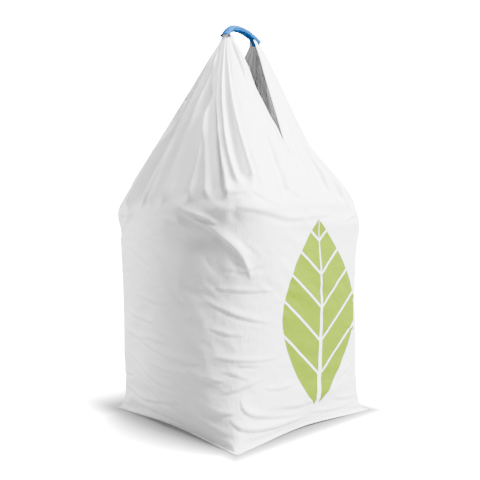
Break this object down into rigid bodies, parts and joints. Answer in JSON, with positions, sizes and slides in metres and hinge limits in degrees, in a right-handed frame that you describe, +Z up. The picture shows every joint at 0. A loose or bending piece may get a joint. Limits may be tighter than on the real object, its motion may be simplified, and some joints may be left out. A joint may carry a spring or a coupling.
{
  "type": "bulk bag",
  "caption": "Filled woven bulk bag with a square base, slit front and back at the top, its two gathered legs joined over the middle in a sleeved lifting loop.",
  "frame": {"origin": "middle of the base, on the floor", "axes": "+Z up; the loop spans along X; -Y is the printed front face with one slit, +Y the back face with the other slit, the pouch and the label"},
  "size_m": [0.952, 0.9567, 2.054],
  "materials": {
    "woven_fabric": "woven polypropylene tape, slightly glossy",
    "sewing_thread": "twisted polyester thread",
    "blue_thread": "twisted polyester thread",
    "contents": "loose pellets",
    "liner_film": "clear polyethylene film",
    "tie_plastic": "natural nylon",
    "sleeve_fabric": "coated blue fabric, satin",
    "pouch_film": "clear polyethylene film",
    "card": "matte printed card, left blank",
    "label_fabric": "non-woven label stock, left blank"
  },
  "bodies": {
    "bag": {"tube_wall": "woven_fabric", "bottom_panel": "woven_fabric", "bottom_seam": "woven_fabric", "bottom_seam_thread": "sewing_thread", "bulk_contents": "contents", "liner_body": "liner_film", "tent_skirt": "woven_fabric", "slit_stitches_front": "sewing_thread", "slit_stitches_back": "sewing_thread", "tent_leg_left": "woven_fabric", "tent_leg_right": "woven_fabric", "slit_hem_front_left": "woven_fabric", "slit_hem_front_right": "woven_fabric", "slit_hem_back_left": "woven_fabric", "slit_hem_back_right": "woven_fabric", "document_pouch_back": "pouch_film", "document_pouch_front": "pouch_film", "document_pouch_stitches": "sewing_thread", "safety_label_header": "label_fabric", "safety_label_stitches": "sewing_thread"},
    "gathered_top": {"neck_left": "woven_fabric", "neck_right": "woven_fabric"},
    "lifting_loop": {"loop_core_front": "woven_fabric", "loop_core_back": "woven_fabric", "loop_splice_stitches": "sewing_thread", "loop_sleeve": "sleeve_fabric", "sleeve_seam_thread": "blue_thread"},
    "liner_closure": {"liner_neck": "liner_film", "liner_neck_tie": "tie_plastic"},
    "document": {"document_card": "card"},
    "label": {"safety_label": "label_fabric"}
  },
  "joints": [
    {"name": "tent_drop", "type": "slide", "parent": "bag", "child": "gathered_top", "axis": [0, 0, -1], "range_m": [0, 0.366], "deforming": ["tent_skirt", "tent_leg_left", "tent_leg_right", "slit_hem_front_left", "slit_hem_front_right", "slit_hem_back_left", "slit_hem_back_right", "slit_stitches_front", "slit_stitches_back"]},
    {"name": "loop_tip", "type": "hinge", "parent": "gathered_top", "child": "lifting_loop", "pos_m": [0, 0, 1.985], "axis": [1, 0, 0], "range_deg": [-65, 65], "deforming": ["neck_left", "neck_right"]},
    {"name": "liner_neck_fold", "type": "hinge", "parent": "bag", "child": "liner_closure", "pos_m": [0, 0, 1.312], "axis": [1, 0, 0], "range_deg": [0, 80]},
    {"name": "document_slide", "type": "slide", "parent": "bag", "child": "document", "axis": [0, 0, 1], "range_m": [0, 0.22]},
    {"name": "label_flap", "type": "hinge", "parent": "bag", "child": "label", "pos_m": [-0.1975, 0.4767, 0.5607], "axis": [1, 0, 0], "range_deg": [0, 120]}
  ]
}
